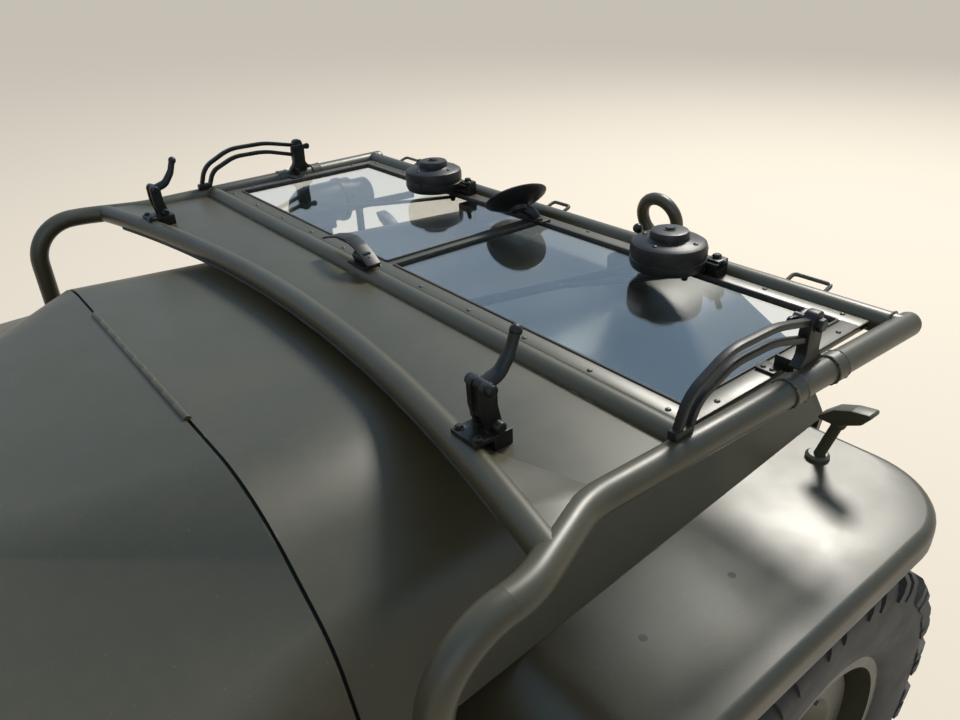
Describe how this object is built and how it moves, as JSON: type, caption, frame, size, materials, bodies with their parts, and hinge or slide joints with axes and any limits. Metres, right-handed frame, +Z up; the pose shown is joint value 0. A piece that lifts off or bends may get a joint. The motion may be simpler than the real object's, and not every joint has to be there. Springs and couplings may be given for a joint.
{
  "type": "light open military 4x4 car",
  "caption": "Open light 4x4 car with flat fenders, slotted grille, canvas seats and a tubular windshield folded forward over the hood; spare wheel and can at the rear.",
  "frame": {"origin": "on the ground, at the middle of the overall length and width", "axes": "+X forward, +Y to the left of the driver, +Z up"},
  "size_m": [3.36, 1.575, 1.2684],
  "materials": {
    "black_paint": "satin near-black",
    "canvas": "woven olive cotton duck",
    "chassis_paint": "dull olive drab with road dust",
    "engine_paint": "satin grey-green",
    "lamp_glass": "fluted clear lens on painted bucket",
    "olive_paint": "semi-gloss dark olive drab, worn at edges",
    "olive_plastic": "satin olive moulded rim",
    "pane_glass": "clear, lightly dusty",
    "rusty_steel": "matt scale rust",
    "tool_wood": "olive painted ash handle",
    "tyre_rubber": "dusty black rubber"
  },
  "bodies": {
    "chassis": {"cowl": "olive_paint", "driveline": "chassis_paint", "engine_block": "engine_paint", "exhaust": "rusty_steel", "fender_left": "olive_paint", "fender_right": "olive_paint", "floor": "olive_paint", "frame": "chassis_paint", "front_axle": "chassis_paint", "front_bumper": "olive_paint", "grille": "olive_paint", "hood": "olive_paint", "jerrycan": "olive_paint", "lamps": "lamp_glass", "radiator": "black_paint", "rear_axle": "chassis_paint", "rear_panel": "olive_paint", "rim_spare": "olive_paint", "seat_cushions": "canvas", "seat_frames": "olive_paint", "side_left": "olive_paint", "side_right": "olive_paint", "springs": "chassis_paint", "steering_column": "olive_paint", "tail_lamps": "olive_paint", "tools": "tool_wood", "tyre_spare": "tyre_rubber"},
    "knuckle_left": {"knuckle_left": "chassis_paint"},
    "knuckle_right": {"knuckle_right": "chassis_paint"},
    "tie_rod": {"tie_rod": "chassis_paint"},
    "wheel_front_left": {"tyre_front_left": "tyre_rubber", "rim_front_left": "olive_paint"},
    "wheel_front_right": {"tyre_front_right": "tyre_rubber", "rim_front_right": "olive_paint"},
    "wheel_rear_left": {"tyre_rear_left": "tyre_rubber", "rim_rear_left": "olive_paint"},
    "wheel_rear_right": {"tyre_rear_right": "tyre_rubber", "rim_rear_right": "olive_paint"},
    "steering_wheel": {"steering_wheel": "olive_plastic"},
    "windshield": {"windshield_frame": "olive_paint", "glass_frame": "olive_paint", "glass_panes": "pane_glass", "quadrants": "black_paint", "windshield_clamps": "black_paint", "wipers": "black_paint", "mirror": "black_paint"},
    "passenger_seat": {"passenger_seat_frame": "olive_paint", "passenger_seat_cushions": "canvas"},
    "tow_bar": {"tow_bar": "olive_paint"}
  },
  "joints": [
    {"name": "steer_left", "type": "hinge", "parent": "chassis", "child": "knuckle_left", "pos_m": [1.15, 0.49, 0.367], "axis": [0, 0, 1], "range_deg": [-24, 24]},
    {"name": "steer_right", "type": "hinge", "parent": "chassis", "child": "knuckle_right", "pos_m": [1.15, -0.49, 0.367], "axis": [0, 0, 1], "range_deg": [-24, 24]},
    {"name": "tie_rod_shift", "type": "slide", "parent": "chassis", "child": "tie_rod", "axis": [0, 1, 0], "range_m": [-0.0692, 0.0692]},
    {"name": "steering_wheel_turn", "type": "hinge", "parent": "chassis", "child": "steering_wheel", "pos_m": [0.01, 0.368, 1.09], "axis": [-0.8372, 0, 0.5469], "range_deg": [-336.1, 336.1]},
    {"name": "windshield_fold", "type": "hinge", "parent": "chassis", "child": "windshield", "pos_m": [0.53, 0, 0.83], "axis": [0, -1, 0], "range_deg": [0, 90]},
    {"name": "passenger_seat_tip", "type": "hinge", "parent": "chassis", "child": "passenger_seat", "pos_m": [0.016, -0.375, 0.598], "axis": [0, 1, 0], "range_deg": [0, 45]},
    {"name": "tow_bar_swing", "type": "hinge", "parent": "chassis", "child": "tow_bar", "pos_m": [1.655, 0, 0.612], "axis": [0, 1, 0], "range_deg": [0, 100]},
    {"name": "spin_front_left", "type": "hinge", "parent": "knuckle_left", "child": "wheel_front_left", "pos_m": [1.15, 0.6225, 0.367], "axis": [0, 1, 0], "continuous": true},
    {"name": "spin_front_right", "type": "hinge", "parent": "knuckle_right", "child": "wheel_front_right", "pos_m": [1.15, -0.6225, 0.367], "axis": [0, 1, 0], "continuous": true},
    {"name": "spin_rear_left", "type": "hinge", "parent": "chassis", "child": "wheel_rear_left", "pos_m": [-0.882, 0.6225, 0.367], "axis": [0, 1, 0], "continuous": true},
    {"name": "spin_rear_right", "type": "hinge", "parent": "chassis", "child": "wheel_rear_right", "pos_m": [-0.882, -0.6225, 0.367], "axis": [0, 1, 0], "continuous": true}
  ],
  "couplings": [
    {"joint": "steer_right", "follows": "steer_left", "ratio": 1},
    {"joint": "tie_rod_shift", "follows": "steer_left", "m_per_rad": 0.165},
    {"joint": "steering_wheel_turn", "follows": "steer_left", "ratio": 14}
  ]
}
